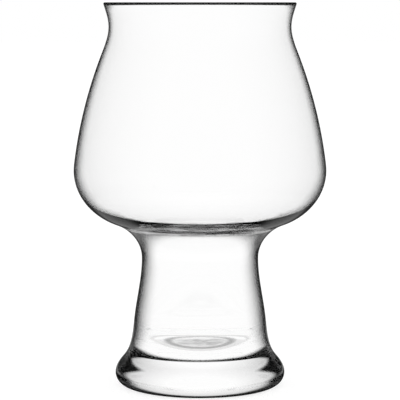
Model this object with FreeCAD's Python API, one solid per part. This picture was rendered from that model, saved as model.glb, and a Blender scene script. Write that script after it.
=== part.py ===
import FreeCAD, Part
import math
import os

# A cider glass, moulded as one piece of clear glass and round about the Z axis: a solid foot, a short
# hollow stem with a waist, and a bellied bowl that draws in to a neck below a flared lip.
# Millimetres, +Z up. The origin is the centre of the resting face.
# A rise is a height above the station before it, and a slope is an angle from the vertical.

# Foot
foot_radius = 31.6
base_corner_radius = 4.6
crown_rise = 5.8
crown_draw = 2.9
crown_slope = -41.0
resting_ring_width = 4.0
base_hollow_depth = 0.5

# Stem, from the end of the cove above the foot up to the waist
cove_rise = 14.8
stem_slope = -6.7
stem_rise = 22.3
stem_flare = 2.85
waist_radius = 21.65

# Shoulder, from the waist out to where the bowl's underside turns
shoulder_rise = 13.2
shoulder_reach = 10.4
shoulder_slope = 70.3

# Bowl
underside_rise = 19.5
belly_radius = 46.75
belly_rise = 3.2
belly_draw = 0.25
belly_slope = -7.3
side_rise = 40.2
side_slope = -21.5
throat_draw = 2.5

# Neck and lip
neck_rise = 9.5
neck_radius = 33.6
lip_rise = 8.25
lip_flare = 1.85
lip_slope = 18.0

# Glass thickness, square to the outer surface
lip_wall = 1.0
bowl_wall = 0.9
shoulder_wall = 2.0
waist_wall = 1.4
stem_wall = 1.4

# The cavity's shoulder lies this much flatter than the outer one
shoulder_turn = 8.0

# Floor of the cavity: a shallow dish, from whose edge one round span runs up into the stem's wall
floor_height = 11.0
floor_radius = 14.0
floor_dish = 0.3


def point(radius, height):
    return FreeCAD.Vector(radius, 0, height)


def along(slope):
    """A step of 1 mm up the outline at this slope."""
    return point(math.sin(math.radians(slope)), math.cos(math.radians(slope)))


def inside(station, wall):
    """The station's twin on the cavity's surface, the wall's thickness away square to the outline."""
    radius, height, slope = station
    step = along(slope)
    return radius - wall * step.z, height + wall * step.x, slope


def span(start, end):
    """One smooth curve between two stations, each given as radius, height and slope.

    It is a cubic whose handles are those of the circular arc that turns through the same angle,
    so a span between two stations on one circle follows that circle.
    """
    first, last = point(*start[:2]), point(*end[:2])
    turn = math.radians(abs(end[2] - start[2]))
    handle = first.distanceToPoint(last) * 2 / 3 * math.tan(turn / 4) / math.sin(turn / 2)
    curve = Part.BezierCurve()
    curve.setPoles([first, first + handle * along(start[2]), last - handle * along(end[2]), last])
    return curve.toShape()


def spans(stations):
    return [span(start, end) for start, end in zip(stations, stations[1:])]


def outside_stations():
    """Radius, height and slope of the outer surface, from the foot's widest ring up to the lip."""
    foot = (foot_radius, base_corner_radius, 0.0)
    crown = (foot_radius - crown_draw, foot[1] + crown_rise, crown_slope)
    stem = (waist_radius + stem_flare, crown[1] + cove_rise, stem_slope)
    waist = (waist_radius, stem[1] + stem_rise, 0.0)
    shoulder = (waist_radius + shoulder_reach, waist[1] + shoulder_rise, shoulder_slope)
    belly = (belly_radius, shoulder[1] + underside_rise, 0.0)
    upper_belly = (belly_radius - belly_draw, belly[1] + belly_rise, belly_slope)
    throat = (neck_radius + throat_draw, upper_belly[1] + side_rise, side_slope)
    neck = (neck_radius, throat[1] + neck_rise, 0.0)
    lip = (neck_radius + lip_flare, neck[1] + lip_rise, lip_slope)
    return [foot, crown, stem, waist, shoulder, belly, upper_belly, throat, neck, lip]


def cavity_stations(outside):
    """The cavity's surface, from the floor's centre out and up to the lip: the dish, then the wall."""
    walls = [stem_wall, waist_wall, shoulder_wall, bowl_wall, bowl_wall, bowl_wall, bowl_wall, lip_wall]
    stem, waist, shoulder, *bowl = [inside(station, wall) for station, wall in zip(outside[2:], walls)]
    radius, height, slope = shoulder
    centre = (0.0, floor_height, 90.0)
    dish_slope = 2 * math.degrees(math.atan2(floor_dish, floor_radius))
    dish_edge = (floor_radius, floor_height + floor_dish, 90.0 - dish_slope)
    return [centre, dish_edge, stem, waist, (radius, height, slope + shoulder_turn)] + bowl


def base_edges():
    """The hollow under the foot, the flat resting ring around it and the foot's rounded lower corner."""
    ring_outside = foot_radius - base_corner_radius
    ring_inside = ring_outside - resting_ring_width
    hollow_slope = 2 * math.degrees(math.atan2(base_hollow_depth, ring_inside))
    hollow = span((0.0, base_hollow_depth, 90.0), (ring_inside, 0.0, 90.0 + hollow_slope))
    ring = Part.LineSegment(point(ring_inside, 0), point(ring_outside, 0)).toShape()
    corner = span((ring_outside, 0.0, 90.0), (foot_radius, base_corner_radius, 0.0))
    return [hollow, ring, corner]


def lip_edge(outside_end, inside_end):
    """The half round that closes the wall's top."""
    first, last = point(*outside_end[:2]), point(*inside_end[:2])
    top = (first + last) / 2 + lip_wall / 2 * along(outside_end[2])
    return Part.Arc(first, top, last).toShape()


def cider_glass():
    """Half of the section, closed along the axis and turned about it."""
    outside = outside_stations()
    cavity = cavity_stations(outside)
    axis = Part.LineSegment(point(0, base_hollow_depth), point(0, floor_height)).toShape()
    edges = [axis] + base_edges() + spans(outside) + [lip_edge(outside[-1], cavity[-1])] + spans(cavity)
    section = Part.Face(Part.Wire(Part.__sortEdges__(edges)))
    return section.revolve(FreeCAD.Vector(0, 0, 0), FreeCAD.Vector(0, 0, 1), 360)


os.makedirs("parts", exist_ok=True)
cider_glass().exportStep("parts/cider_glass.step")
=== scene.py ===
import math
import bpy
import numpy as np
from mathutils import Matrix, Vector


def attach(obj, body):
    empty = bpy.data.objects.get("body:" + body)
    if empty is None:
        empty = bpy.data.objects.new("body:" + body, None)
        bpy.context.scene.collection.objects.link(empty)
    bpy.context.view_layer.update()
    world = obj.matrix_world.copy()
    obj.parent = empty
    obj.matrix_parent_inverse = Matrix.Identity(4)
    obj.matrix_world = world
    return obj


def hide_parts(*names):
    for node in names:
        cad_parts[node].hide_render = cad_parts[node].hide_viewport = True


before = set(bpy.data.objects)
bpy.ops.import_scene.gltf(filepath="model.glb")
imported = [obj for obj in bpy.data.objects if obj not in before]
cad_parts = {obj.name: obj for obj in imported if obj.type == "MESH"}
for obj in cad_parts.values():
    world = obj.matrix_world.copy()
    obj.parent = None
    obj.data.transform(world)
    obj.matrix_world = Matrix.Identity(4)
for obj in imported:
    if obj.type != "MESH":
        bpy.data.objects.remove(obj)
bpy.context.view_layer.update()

# A clear cider glass on a white ground, seen from the height of its lip. The glass is one closed surface
# turned about Z. Its sizes and tables are in millimetres, the studio's sizes in metres.
MM = 0.001

# A rise is a height above the station before it, and a slope is an angle from the vertical, in degrees
UPRIGHT = 0.0
LEVEL = 90.0

# Foot
FOOT_RADIUS = 31.6
BASE_CORNER_RADIUS = 4.6
CROWN_RISE = 5.8
CROWN_DRAW = 2.9
CROWN_SLOPE = -41.0
RESTING_RING_WIDTH = 4.0
BASE_HOLLOW_DEPTH = 0.5

# Stem, from the end of the cove above the foot up to the waist
COVE_RISE = 14.8
STEM_SLOPE = -6.7
STEM_RISE = 22.3
STEM_FLARE = 2.85
WAIST_RADIUS = 21.65

# Shoulder, from the waist out to where the bowl's underside turns
SHOULDER_RISE = 13.2
SHOULDER_REACH = 10.4
SHOULDER_SLOPE = 70.3

# Bowl
UNDERSIDE_RISE = 19.5
BELLY_RADIUS = 46.75
BELLY_RISE = 3.2
BELLY_DRAW = 0.25
BELLY_SLOPE = -7.3
SIDE_RISE = 40.2
SIDE_SLOPE = -21.5
THROAT_DRAW = 2.5

# Neck and lip
NECK_RISE = 9.5
NECK_RADIUS = 33.6
LIP_RISE = 8.25
LIP_FLARE = 1.85
LIP_SLOPE = 18.0

# Glass thickness, square to the outer surface
LIP_WALL = 1.0
BOWL_WALL = 0.9
SHOULDER_WALL = 2.0
WAIST_WALL = 1.4
STEM_WALL = 1.4

# The cavity's shoulder lies this much flatter than the outer one
SHOULDER_TURN = 8.0

# Floor of the cavity: a shallow dish, from whose edge one round span runs up into the stem's wall
FLOOR_HEIGHT = 11.0
FLOOR_RADIUS = 14.0
FLOOR_DISH = 0.3

# About the longest step along each span of the outside, from the foot up, and of the cavity, from its
# floor's centre. The last length also holds for the spans after it.
OUTSIDE_STEPS = [0.3, 0.33, 1.2, 0.5, 0.65, 1.2, 1.2, 1.0, 0.5]
CAVITY_STEPS = [1.0, 1.0, 1.8]
FEWEST_STEPS = 6

# Steps of the hollow and of the lower corner, of the lip's half round, and of the full turn
BASE_STEPS = 12
LIP_STEPS = 12
TURN_STEPS = 256

GLASS_IOR = 1.51

# Painted shade that darkens the glass toward its outline, by height: the facing away from the eye, 0 to 1,
# at which the painted dark edge begins and at which it is full, and the share of light that is then lost
EDGE_SHADES = [
    (0.0, 0.35, 0.52, 0.98),
    (1.5, 0.38, 0.52, 0.98),
    (2.0, 0.36, 0.58, 0.93),
    (3.0, 0.37, 0.60, 0.90),
    (4.0, 0.36, 0.58, 0.92),
    (5.0, 0.31, 0.56, 0.94),
    (6.0, 0.42, 0.62, 0.96),
    (7.0, 0.43, 0.56, 0.98),
    (8.0, 0.34, 0.46, 0.98),
    (8.8, 0.28, 0.40, 0.985),
    (9.4, 0.32, 0.46, 0.985),
    (10.0, 0.42, 0.54, 0.985),
    (11.0, 0.50, 0.60, 0.985),
    (11.7, 0.50, 0.62, 0.985),
    (12.3, 0.40, 0.56, 0.985),
    (12.7, 0.34, 0.50, 0.985),
    (13.0, 0.20, 0.42, 0.98),
    # Painted dark line all round the foot, at almost any facing
    (13.2, -0.40, 0.10, 0.98),
    (13.6, -0.40, 0.12, 0.98),
    (13.9, 0.00, 0.30, 0.97),
    (14.6, 0.14, 0.46, 0.97),
    (15.2, 0.26, 0.56, 0.95),
    (16.0, 0.34, 0.78, 0.93),
    (17.0, 0.34, 0.78, 0.96),
    (22.0, 0.28, 0.76, 0.97),
    (30.0, 0.26, 0.80, 0.98),
    (46.0, 0.26, 0.80, 0.98),
    (54.0, 0.40, 0.73, 0.98),
    (58.6, 0.48, 0.78, 0.95),
    (59.0, 0.30, 0.70, 0.40),
    (59.5, 0.00, 0.50, 0.42),
    (60.0, 0.00, 0.40, 0.66),
    (60.4, 0.00, 0.40, 0.82),
    (60.9, 0.00, 0.40, 0.78),
    (61.3, 0.00, 0.40, 0.72),
    (61.7, 0.00, 0.40, 0.60),
    (62.2, 0.00, 0.40, 0.70),
    (62.7, 0.00, 0.40, 0.86),
    (63.2, 0.00, 0.40, 0.86),
    (63.7, 0.00, 0.40, 0.84),
    (64.2, 0.10, 0.50, 0.68),
    (64.7, 0.30, 0.66, 0.50),
    (65.2, 0.60, 0.88, 0.80),
    (68.0, 0.56, 0.86, 0.85),
    (73.0, 0.54, 0.87, 0.90),
    (80.0, 0.57, 0.88, 0.95),
    (90.0, 0.60, 0.885, 0.96),
    (110.0, 0.61, 0.89, 0.96),
    (125.0, 0.64, 0.89, 0.96),
    (134.0, 0.64, 0.89, 0.96),
    (139.0, 0.60, 0.88, 0.95),
    (140.9, 0.50, 0.85, 0.95),
    # Painted dark line all round the top of the lip, at any facing
    (141.2, -0.90, -0.30, 0.97),
]

# The foot's painted glint, a lighter band inside its painted dark edge: by height, the share of light that
# it gives back
GLINTS = [
    (1.5, 0.00),
    (2.0, 0.02),
    (3.0, 0.05),
    (4.0, 0.08),
    (5.0, 0.10),
    (6.0, 0.12),
    (7.0, 0.12),
    (8.0, 0.14),
    (8.8, 0.17),
    (13.6, 0.17),
    (13.9, 0.15),
    (14.6, 0.13),
    (15.2, 0.08),
    (16.0, 0.00),
]

# The facing at which the painted glint begins, is full, begins to fade and ends
GLINT_FROM = 0.60
GLINT_FULL = 0.74
GLINT_FADES = 0.79
GLINT_TO = 0.87

# The shoulder's painted streaky shade: by height, how far it tells
STREAK_SHADES = [
    (58.6, 0.0),
    (59.0, 0.3),
    (59.5, 1.0),
    (63.7, 1.0),
    (64.2, 0.8),
    (64.7, 0.4),
    (65.2, 0.0),
]

# The noise of the painted streaky shade: its grains to a metre along each axis, its detail, the stretch of
# its values over which the shade darkens, and the share of light lost in the darkest
STREAK_SCALE = (150, 150, 1500)
STREAK_DETAIL = 3.0
STREAK_LOW = 0.42
STREAK_HIGH = 0.58
STREAK_DARK = 0.75

# A soft grey painted shade inside the painted dark edge: by height, the share of light lost where it is full
VEIL_SHADES = [
    (0.0, 0.15),
    (1.5, 0.32),
    (2.0, 0.44),
    (3.0, 0.50),
    (12.7, 0.50),
    (13.0, 0.10),
    (13.2, 0.00),
    (64.7, 0.00),
    (65.2, 0.08),
    (68.0, 0.12),
    (73.0, 0.12),
    (80.0, 0.10),
    (90.0, 0.08),
    (110.0, 0.07),
    (125.0, 0.05),
    (134.0, 0.04),
    (139.0, 0.03),
    (140.9, 0.00),
]

# The facing at which the soft grey painted shade begins and is full
VEIL_FROM = 0.08
VEIL_TO = 0.60

# Painted shade in rings on the cavity's floor: by radius, the share of light lost and how far the painted
# streaky shade tells
FLOOR_SHADES = [
    (0.0, 0.10, 0.5),
    (4.0, 0.05, 0.6),
    (6.0, 0.25, 0.3),
    (8.0, 0.05, 0.5),
    (10.5, 0.00, 0.2),
    (12.0, 0.55, 0.0),
    (13.5, 0.55, 0.0),
    (15.0, 0.00, 0.0),
]

# The height below which the cavity's surface is its floor
FLOOR_SHADES_TOP = 20.0

# The mesh's attributes, which carry the painted shade and the painted glint above
LOOKS = ["edge_start", "edge_end", "edge_depth", "edge_glint", "streak_shade", "veil_shade", "floor_shade"]

# Ground: half its side, its gap below the resting ring, its colour and its own glow
GROUND_HALF = 6.0
GROUND_GAP = 0.00005
GROUND_WHITE = 0.35
GROUND_GLOW = 0.75
WHITE = (1, 1, 1, 1)

# Light of all that is seen through the glass, and the dimmer light of the ground under the foot, a painted
# shadow, with the distances from the axis between which the one gives way to the other
WHITE_LIGHT = 1.03
UNDER_LIGHT = 0.75
UNDER_FAR = 0.034
UNDER_NEAR = 0.031

# Light of what is only mirrored off the outside of the glass: the room, and the ground near the foot, in a
# ring around it, and far away, with the distances from the axis between which one gives way to the next
ROOM_LIGHT = 0.02
NEAR_LIGHT = 0.012
MID_LIGHT = 0.38
FAR_LIGHT = 0.05
NEAR_FROM = 0.045
NEAR_TO = 0.075
FAR_FROM = 0.13
FAR_TO = 0.20

# A count of bounces above this is one or more
ANY_BOUNCE = 0.5

# Camera: its place, the point that it looks at, and its focal length and the picture's width in pixels
EYE = (0, -0.692, 0.1417)
TARGET = (0, 0, 0.069)
FOCAL_LENGTH = 1873.6
PICTURE_WIDTH = 400

MAX_BOUNCES = 24
GLOSSY_BOUNCES = 16


def along(slope):
    """A step of one up the outline: the slope's sine outward and its cosine upward."""
    return np.array([math.sin(math.radians(slope)), math.cos(math.radians(slope))])


def inside(station, wall):
    """The station's twin on the cavity's surface, the wall's thickness away square to the outline.

    It moves inward by the wall times the slope's cosine and upward by the wall times its sine.
    """
    radius, height, slope = station
    outward, upward = along(slope)
    return radius - wall * upward, height + wall * outward, slope


def span(start, end, steps):
    """Points of one smooth curve between two stations, each given as radius, height and slope.

    It is the cubic with four control points: the start, the start moved up its slope by a handle, the end
    moved back down its own slope by as much, and the end. At t they weigh the cube of 1 - t, three times
    its square times t, three times it times the square of t, and the cube of t. The handle is two thirds
    of the chord, times the tangent of a quarter of the turn, over the sine of half the turn, as on an arc.
    """
    first, last = np.array(start[:2]), np.array(end[:2])
    turn = math.radians(abs(end[2] - start[2]))
    handle = np.linalg.norm(last - first) * 2 / 3 * math.tan(turn / 4) / math.sin(turn / 2)
    after_first = first + handle * along(start[2])
    before_last = last - handle * along(end[2])
    t = np.linspace(0, 1, steps + 1)[:, None]
    near = (1 - t) ** 3 * first + 3 * (1 - t) ** 2 * t * after_first
    return near + 3 * (1 - t) * t**2 * before_last + t**3 * last


def outside_stations():
    """Radius, height and slope of the outer surface, from the foot's widest ring up to the lip.

    A height is the sum of the rises below it, and a radius a named one, drawn in, flared or reached out.
    """
    foot = (FOOT_RADIUS, BASE_CORNER_RADIUS, UPRIGHT)
    crown = (FOOT_RADIUS - CROWN_DRAW, foot[1] + CROWN_RISE, CROWN_SLOPE)
    stem = (WAIST_RADIUS + STEM_FLARE, crown[1] + COVE_RISE, STEM_SLOPE)
    waist = (WAIST_RADIUS, stem[1] + STEM_RISE, UPRIGHT)
    shoulder = (WAIST_RADIUS + SHOULDER_REACH, waist[1] + SHOULDER_RISE, SHOULDER_SLOPE)
    belly = (BELLY_RADIUS, shoulder[1] + UNDERSIDE_RISE, UPRIGHT)
    upper_belly = (BELLY_RADIUS - BELLY_DRAW, belly[1] + BELLY_RISE, BELLY_SLOPE)
    throat = (NECK_RADIUS + THROAT_DRAW, upper_belly[1] + SIDE_RISE, SIDE_SLOPE)
    neck = (NECK_RADIUS, throat[1] + NECK_RISE, UPRIGHT)
    lip = (NECK_RADIUS + LIP_FLARE, neck[1] + LIP_RISE, LIP_SLOPE)
    return [foot, crown, stem, waist, shoulder, belly, upper_belly, throat, neck, lip]


def cavity_stations(outside):
    """The cavity's surface, from the floor's centre out and up: the dish, then the wall.

    The dish is an arc, level at its centre, whose edge rises at twice the angle of its chord.
    The wall's stations are the outer ones moved inside by the glass's thickness.
    """
    walls = [STEM_WALL, WAIST_WALL, SHOULDER_WALL, BOWL_WALL, BOWL_WALL, BOWL_WALL, BOWL_WALL, LIP_WALL]
    stem, waist, shoulder, *bowl = [inside(station, wall) for station, wall in zip(outside[2:], walls)]
    radius, height, slope = shoulder
    centre = (0.0, FLOOR_HEIGHT, LEVEL)
    dish_slope = LEVEL - 2 * math.degrees(math.atan2(FLOOR_DISH, FLOOR_RADIUS))
    dish_edge = (FLOOR_RADIUS, FLOOR_HEIGHT + FLOOR_DISH, dish_slope)
    return [centre, dish_edge, stem, waist, (radius, height, slope + SHOULDER_TURN)] + bowl


def chain(stations, lengths):
    """Points of the spans through the stations.

    A span has as many steps as its length goes into its chord, rounded up, and no fewer than the fewest.
    """
    runs = [np.array([stations[0][:2]])]
    lengths = lengths + lengths[-1:] * len(stations)
    for start, end, length in zip(stations, stations[1:], lengths):
        steps = max(FEWEST_STEPS, math.ceil(math.dist(start[:2], end[:2]) / length))
        runs.append(span(start, end, steps)[1:])
    return np.concatenate(runs)


def lip_edge(outside_end, inside_end):
    """The half round that closes the wall's top, between its two ends.

    A point lies at the middle of the ends, plus half the way from the inner end to the outer one times the
    cosine of its angle, plus half the lip's wall up the lip's slope times the angle's sine.
    """
    middle, reach = (outside_end + inside_end) / 2, (outside_end - inside_end) / 2
    angle = np.linspace(0, math.pi, LIP_STEPS + 1)[1:-1, None]
    return middle + np.cos(angle) * reach + np.sin(angle) * LIP_WALL / 2 * along(LIP_SLOPE)


def half_section():
    """Radius and height from the hollow's centre, up the outside and down the cavity to its floor's centre.

    It also gives how many points off the axis come up to the resting ring's outer edge, and how many come
    before the cavity.
    """
    outside = outside_stations()
    ring_outside = FOOT_RADIUS - BASE_CORNER_RADIUS
    ring_inside = ring_outside - RESTING_RING_WIDTH
    hollow_slope = LEVEL + 2 * math.degrees(math.atan2(BASE_HOLLOW_DEPTH, ring_inside))
    hollow = span((0.0, BASE_HOLLOW_DEPTH, LEVEL), (ring_inside, 0.0, hollow_slope), BASE_STEPS)
    corner = span((ring_outside, 0.0, LEVEL), outside[0], BASE_STEPS)
    outer = chain(outside, OUTSIDE_STEPS)
    inner = chain(cavity_stations(outside), CAVITY_STEPS)
    before_cavity = np.concatenate([hollow, corner, outer[1:], lip_edge(outer[-1], inner[-1])])
    return np.concatenate([before_cavity, inner[::-1]]), len(hollow), len(before_cavity) - 1


def turned(name, section, steps):
    """A closed surface: the section turned about Z.

    A ring's points lie at its height, at its radius times the cosine and the sine of even angles of a full
    turn. Quads join each ring to the next, and fans of triangles join the first and the last to the axis.
    """
    angle = np.linspace(0, 2 * math.pi, steps, endpoint=False)
    radius, height = section[1:-1, 0, None], section[1:-1, 1, None]
    x, y = radius * np.cos(angle), radius * np.sin(angle)
    rings = np.stack([x, y, np.broadcast_to(height, x.shape)], axis=-1)
    ends = [[0, 0, section[0, 1]], [0, 0, section[-1, 1]]]
    points = np.concatenate([rings.reshape(-1, 3), ends]) * MM

    here = np.arange(steps)
    beside = (here + 1) % steps
    lower = np.arange(len(rings) - 1)[:, None] * steps
    upper = lower + steps
    quads = np.stack([lower + here, lower + beside, upper + beside, upper + here], axis=-1)
    last_ring = (len(rings) - 1) * steps
    first_end = last_ring + steps
    last_end = first_end + 1
    first_fan = np.stack([np.full(steps, first_end), beside, here], axis=-1)
    last_fan = np.stack([np.full(steps, last_end), last_ring + here, last_ring + beside], axis=-1)
    corners = np.concatenate([quads.ravel(), first_fan.ravel(), last_fan.ravel()])
    sizes = np.concatenate([np.full(lower.size * steps, 4), np.full(2 * steps, 3)])
    starts = np.concatenate([[0], np.cumsum(sizes)[:-1]])

    mesh = bpy.data.meshes.new(name)
    mesh.vertices.add(len(points))
    mesh.vertices.foreach_set("co", points.ravel())
    mesh.loops.add(len(corners))
    mesh.loops.foreach_set("vertex_index", corners.astype(np.int32))
    mesh.polygons.add(len(sizes))
    mesh.polygons.foreach_set("loop_start", starts.astype(np.int32))
    mesh.update(calc_edges=True)
    mesh.validate()
    mesh.polygons.foreach_set("use_smooth", np.ones(len(mesh.polygons), dtype=bool))
    piece = bpy.data.objects.new(name, mesh)
    bpy.context.scene.collection.objects.link(piece)
    return piece


def columns_at(places, table):
    """The table's columns after the first, in straight lines between its rows, at places along the first."""
    stops, *columns = np.array(table).T
    return [np.interp(places, stops, column) for column in columns]


def dress(piece, section, base_rings, outer_rings, steps):
    """Writes the looks, the painted shade and glint, into the mesh, each the same all round a ring.

    On the outside they are the tables' values at the ring's height, with the base taken as height 0 and
    without a dark edge. In the cavity only the floor has any, by radius. The points on the axis have none.
    """
    radius, height = section[1:-1].T
    outer_height = height[:outer_rings].copy()
    outer_height[:base_rings] = 0.0
    outer = dict(zip(LOOKS, columns_at(outer_height, EDGE_SHADES)))
    outer["edge_depth"][:base_rings] = 0.0
    outer["edge_glint"] = columns_at(outer_height, GLINTS)[0]
    outer["streak_shade"] = columns_at(outer_height, STREAK_SHADES)[0]
    outer["veil_shade"] = columns_at(outer_height, VEIL_SHADES)[0]
    # Only the cavity's floor carries painted shade in rings and painted streaky shade
    on_floor = height[outer_rings:] < FLOOR_SHADES_TOP
    floor_shade, streak_shade = columns_at(radius[outer_rings:], FLOOR_SHADES)
    cavity = {"floor_shade": floor_shade * on_floor, "streak_shade": streak_shade * on_floor}
    for look in LOOKS:
        on_outside = outer.get(look, np.zeros(outer_rings))
        in_cavity = cavity.get(look, np.zeros(len(on_floor)))
        on_rings = np.repeat(np.concatenate([on_outside, in_cavity]), steps)
        values = np.concatenate([on_rings, [0, 0]]).astype(np.float32)
        piece.data.attributes.new(look, "FLOAT", "POINT").data.foreach_set("value", values)


class Graph:
    """A material's or a world's nodes, written as expressions."""

    def __init__(self, tree):
        self.nodes, self.links = tree.nodes, tree.links

    def node(self, kind, **values):
        """A new node with its own settings."""
        made = self.nodes.new(kind)
        for key, value in values.items():
            setattr(made, key, value)
        return made

    def feed(self, socket, value):
        """Gives an input what another node puts out, or a plain value."""
        if hasattr(value, "is_linked"):
            self.links.new(value, socket)
        else:
            socket.default_value = value

    def calc(self, operation, *values, clamp=False):
        """The operation's result on the values."""
        made = self.node("ShaderNodeMath", operation=operation, use_clamp=clamp)
        for socket, value in zip(made.inputs, values):
            self.feed(socket, value)
        return made.outputs[0]

    def less(self, value, share):
        """The value times one less the share."""
        return self.calc("MULTIPLY", value, self.calc("SUBTRACT", 1.0, share))

    def ramp(self, value, low, high):
        """A straight rise from 0 at low to 1 at high, level beyond both, where low may be the larger."""
        return self.calc("MULTIPLY_ADD", value, 1 / (high - low), -low / (high - low), clamp=True)

    def smooth(self, value, low, high, start, end):
        """A smooth step from start at low to end at high, level beyond both."""
        made = self.node("ShaderNodeMapRange", interpolation_type="SMOOTHSTEP")
        names = ("Value", "From Min", "From Max", "To Min", "To Max")
        for name, given in zip(names, (value, low, high, start, end)):
            self.feed(made.inputs[name], given)
        return made.outputs[0]

    def seen_in_glass(self):
        """1 for a ray that comes from the glass by reflection or by refraction, else 0."""
        path = self.node("ShaderNodeLightPath")
        return self.calc("MAXIMUM", path.outputs["Is Glossy Ray"], path.outputs["Is Transmission Ray"])

    def lit(self, light, room):
        """The light for a ray that went through glass, and the room's for one that only met its outside."""
        depth = self.node("ShaderNodeLightPath").outputs["Transmission Depth"]
        through = self.calc("GREATER_THAN", depth, ANY_BOUNCE)
        return self.calc("MULTIPLY_ADD", through, self.calc("SUBTRACT", light, room), room)


def streak_darkness(graph):
    """The share of light that the painted streaky shade takes: a smooth step of a noise drawn out level."""
    spread = graph.node("ShaderNodeMapping")
    graph.feed(spread.inputs["Vector"], graph.node("ShaderNodeTexCoord").outputs["Object"])
    spread.inputs["Scale"].default_value = STREAK_SCALE
    noise = graph.node("ShaderNodeTexNoise")
    noise.inputs["Scale"].default_value = 1.0
    noise.inputs["Detail"].default_value = STREAK_DETAIL
    graph.feed(noise.inputs["Vector"], spread.outputs[0])
    return graph.smooth(noise.outputs["Fac"], STREAK_LOW, STREAK_HIGH, 0.0, STREAK_DARK)


def clear_glass():
    """Smooth transparent glass with painted shade, whose colour is the square of the share of light it lets
    through.

    That share starts at 1 and falls by the depth in a smooth step of the facing, the painted dark edge. The
    painted glint adds to it the product of a smooth rise and a smooth fall of the facing. Then the painted
    streaky shade, the painted shade on the cavity's floor and the soft grey painted shade, which rises with
    the facing, each take their share off. Where light leaves the glass the share is at least 1, so only the
    surfaces that light enters are painted.
    """
    material = bpy.data.materials.new("clear_glass")
    material.use_nodes = True
    graph = Graph(material.node_tree)
    shader = graph.nodes["Principled BSDF"]
    shader.inputs["Roughness"].default_value = 0.0
    shader.inputs["IOR"].default_value = GLASS_IOR
    shader.inputs["Transmission Weight"].default_value = 1.0
    facing = graph.node("ShaderNodeLayerWeight").outputs["Facing"]
    start, end, depth, glint, streak_shade, veil_shade, floor_shade = [
        graph.node("ShaderNodeAttribute", attribute_name=look).outputs["Fac"] for look in LOOKS
    ]
    # Painted shade: the dark edge toward the outline, by the facing
    edge = graph.smooth(facing, start, end, 0.0, depth)
    # Painted glint inside the foot's painted dark edge
    rise = graph.smooth(facing, GLINT_FROM, GLINT_FULL, 0.0, glint)
    fall = graph.smooth(facing, GLINT_FADES, GLINT_TO, 1.0, 0.0)
    painted_share = graph.calc("ADD", graph.calc("SUBTRACT", 1.0, edge), graph.calc("MULTIPLY", rise, fall))
    # Painted streaky shade on the shoulder and on the cavity's floor
    painted_share = graph.less(painted_share, graph.calc("MULTIPLY", streak_darkness(graph), streak_shade))
    # Painted shade in rings on the cavity's floor
    painted_share = graph.less(painted_share, floor_shade)
    # Soft grey painted shade that rises with the facing
    painted_share = graph.less(painted_share, graph.calc("MULTIPLY", veil_shade, graph.ramp(facing, VEIL_FROM, VEIL_TO)))
    leaving = graph.node("ShaderNodeNewGeometry").outputs["Backfacing"]
    painted_share = graph.calc("MAXIMUM", painted_share, leaving)
    # The base colour: the painted share of light, squared
    painted_grey = graph.calc("MULTIPLY", painted_share, painted_share)
    colour = graph.node("ShaderNodeCombineColor")
    for socket in colour.inputs[:3]:
        graph.feed(socket, painted_grey)
    graph.feed(shader.inputs["Base Color"], colour.outputs[0])
    return material


def seen_ground(graph):
    """How bright the ground is to a ray from the glass, by its distance from the axis.

    A ray that went through glass meets white light, which falls to a dimmer one under the foot, a painted
    shadow, unless the ray was also mirrored. A ray that only met the outside meets three levels, joined by
    smooth steps.
    """
    split = graph.node("ShaderNodeSeparateXYZ")
    graph.feed(split.inputs[0], graph.node("ShaderNodeTexCoord").outputs["Object"])
    x, y = split.outputs["X"], split.outputs["Y"]
    squares = graph.calc("ADD", graph.calc("MULTIPLY", x, x), graph.calc("MULTIPLY", y, y))
    away = graph.calc("SQRT", squares)
    # Painted shadow: seen through the glass, the ground is dimmer under the foot
    under = graph.ramp(away, UNDER_FAR, UNDER_NEAR)
    beside = graph.smooth(away, NEAR_FROM, NEAR_TO, NEAR_LIGHT, MID_LIGHT)
    room = graph.smooth(away, FAR_FROM, FAR_TO, beside, FAR_LIGHT)
    mirrored = graph.node("ShaderNodeLightPath").outputs["Glossy Depth"]
    straight = graph.calc("LESS_THAN", mirrored, ANY_BOUNCE)
    shaded = graph.calc("MULTIPLY", under, straight)
    light = graph.calc("MULTIPLY_ADD", shaded, UNDER_LIGHT - WHITE_LIGHT, WHITE_LIGHT)
    return graph.lit(light, room)


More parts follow.
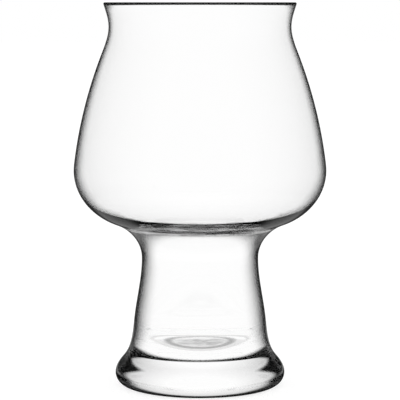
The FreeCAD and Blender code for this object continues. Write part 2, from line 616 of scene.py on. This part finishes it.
def white_ground():
    """Matt and white with a glow of its own, and where it is seen in the glass a set light, dimmer under the
    foot as a painted shadow.
    """
    material = bpy.data.materials.new("white_ground")
    material.use_nodes = True
    graph = Graph(material.node_tree)
    shader = graph.nodes["Principled BSDF"]
    shader.inputs["Base Color"].default_value = (GROUND_WHITE, GROUND_WHITE, GROUND_WHITE, 1)
    shader.inputs["Roughness"].default_value = 1.0
    shader.inputs["Specular IOR Level"].default_value = 0.0
    shader.inputs["Emission Color"].default_value = WHITE
    shader.inputs["Emission Strength"].default_value = GROUND_GLOW
    glow = graph.node("ShaderNodeEmission")
    graph.feed(glow.inputs["Strength"], seen_ground(graph))
    mix = graph.node("ShaderNodeMixShader")
    graph.feed(mix.inputs[0], graph.seen_in_glass())
    graph.links.new(shader.outputs[0], mix.inputs[1])
    graph.links.new(glow.outputs[0], mix.inputs[2])
    graph.links.new(mix.outputs[0], graph.nodes["Material Output"].inputs["Surface"])
    return material


def studio_world():
    """White of strength 1 all round, and to a ray from the glass the white light or the dark room."""
    world = bpy.data.worlds.new("studio")
    bpy.context.scene.world = world
    world.use_nodes = True
    graph = Graph(world.node_tree)
    background = graph.nodes["Background"]
    in_glass = graph.seen_in_glass()
    seen = graph.calc("MULTIPLY", in_glass, graph.lit(WHITE_LIGHT, ROOM_LIGHT))
    graph.feed(background.inputs["Strength"], graph.calc("ADD", seen, graph.calc("SUBTRACT", 1.0, in_glass)))
    background.inputs["Color"].default_value = WHITE


def ground():
    """A level square, centred on the axis, just below the resting ring."""
    signs = [(-1, -1), (1, -1), (1, 1), (-1, 1)]
    corners = [(x * GROUND_HALF, y * GROUND_HALF, -GROUND_GAP) for x, y in signs]
    mesh = bpy.data.meshes.new("ground")
    mesh.from_pydata(corners, [], [(0, 1, 2, 3)])
    floor = bpy.data.objects.new("ground", mesh)
    bpy.context.scene.collection.objects.link(floor)
    floor.data.materials.append(white_ground())


def camera():
    """A camera at the eye's place, turned so that it looks at its target with the picture upright."""
    data = bpy.data.cameras.new("camera")
    data.lens = FOCAL_LENGTH / PICTURE_WIDTH * data.sensor_width
    eye = bpy.data.objects.new("camera", data)
    bpy.context.scene.collection.objects.link(eye)
    eye.location = EYE
    eye.rotation_euler = (Vector(TARGET) - eye.location).to_track_quat("-Z", "Y").to_euler()
    bpy.context.scene.camera = eye


section, base_rings, outer_rings = half_section()
glass = turned("glass_body", section, TURN_STEPS)
dress(glass, section, base_rings, outer_rings, TURN_STEPS)
glass.data.materials.append(clear_glass())
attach(glass, "root")
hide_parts("cider_glass")
ground()
studio_world()
camera()
scene = bpy.context.scene
scene.view_settings.view_transform = "Standard"
scene.cycles.max_bounces = MAX_BOUNCES
scene.cycles.transmission_bounces = MAX_BOUNCES
scene.cycles.glossy_bounces = GLOSSY_BOUNCES
